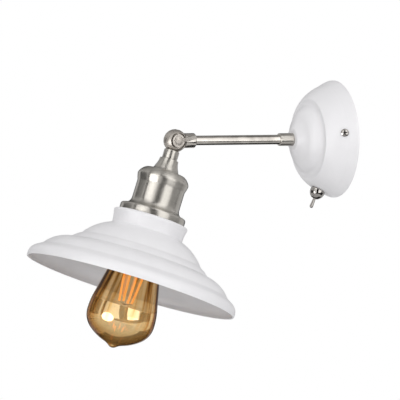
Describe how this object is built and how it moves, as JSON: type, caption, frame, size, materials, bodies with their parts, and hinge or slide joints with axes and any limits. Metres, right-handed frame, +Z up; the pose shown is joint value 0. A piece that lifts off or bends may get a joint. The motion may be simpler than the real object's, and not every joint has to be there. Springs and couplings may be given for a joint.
{
  "type": "wall spotlight",
  "caption": "Wall spotlight: stepped canopy with a toggle switch, a swivelling arm, a ball knuckle that tilts, and a stepped bell shade with a screw-in filament bulb.",
  "frame": {"origin": "centre of the canopy's back, in the wall's plane and on the arm's axis", "axes": "+Z up, +Y into the wall so that the arm leaves along -Y, +X along the wall"},
  "size_m": [0.1966, 0.2979, 0.2404],
  "materials": {
    "white_enamel": "satin",
    "satin_nickel": "satin",
    "chrome_plate": "polished",
    "zinc_steel": "satin",
    "brass": "satin",
    "white_nylon": "matte",
    "black_phenolic": "gloss",
    "white_porcelain": "gloss",
    "bulb_metal": "satin",
    "amber_glass": "gloss",
    "clear_glass": "gloss",
    "filament_phosphor": "matte",
    "filament_wire": "satin",
    "brown_pvc": "matte",
    "blue_pvc": "matte",
    "green_pvc": "matte",
    "white_silicone": "matte"
  },
  "bodies": {
    "base": {"wall_plate": "zinc_steel", "canopy": "white_enamel", "canopy_screws": "chrome_plate", "earth_screw": "brass", "terminal_block": "white_nylon", "terminal_sleeves": "brass", "terminal_screws": "brass", "nipple": "zinc_steel", "nipple_nut": "zinc_steel", "lock_washer": "zinc_steel", "ferrule": "satin_nickel", "swivel_washer": "white_nylon", "switch_body": "black_phenolic", "switch_bush": "chrome_plate", "switch_washer": "zinc_steel", "switch_nut": "zinc_steel", "switch_dome_nut": "chrome_plate", "switch_lugs": "brass", "live_wires": "brown_pvc", "neutral_wire": "blue_pvc", "earth_wire": "green_pvc"},
    "switch_lever": {"switch_lever": "chrome_plate"},
    "arm": {"arm_tube": "satin_nickel", "fork": "satin_nickel", "friction_washers": "white_nylon", "pivot_screw": "chrome_plate", "pivot_nut": "chrome_plate", "arm_wires": "white_silicone"},
    "head": {"knuckle_ball": "satin_nickel", "neck": "satin_nickel", "holder_cap": "satin_nickel", "cap_nut": "zinc_steel", "lampholder": "white_porcelain", "screw_shell": "brass", "centre_contact": "brass", "shade_ring": "white_porcelain", "shade": "white_enamel", "bulb_contact": "bulb_metal", "bulb_insulator": "black_phenolic", "bulb_cap": "bulb_metal", "bulb_glass": "amber_glass", "bulb_stem": "clear_glass", "filaments": "filament_phosphor", "filament_wires": "filament_wire", "head_wires": "white_silicone"}
  },
  "joints": [
    {"name": "arm_swivel", "type": "hinge", "parent": "base", "child": "arm", "pos_m": [0, -0.0532, 0], "axis": [0, -1, 0], "range_deg": [-165, 165]},
    {"name": "head_tilt", "type": "hinge", "parent": "arm", "child": "head", "pos_m": [0, -0.1603, 0], "axis": [-1, 0, 0], "range_deg": [-18.8, 71.2]},
    {"name": "switch_toggle", "type": "hinge", "parent": "base", "child": "switch_lever", "pos_m": [0, -0.0171, -0.04913], "axis": [0, 0.866, -0.5], "range_deg": [0, 25]}
  ]
}
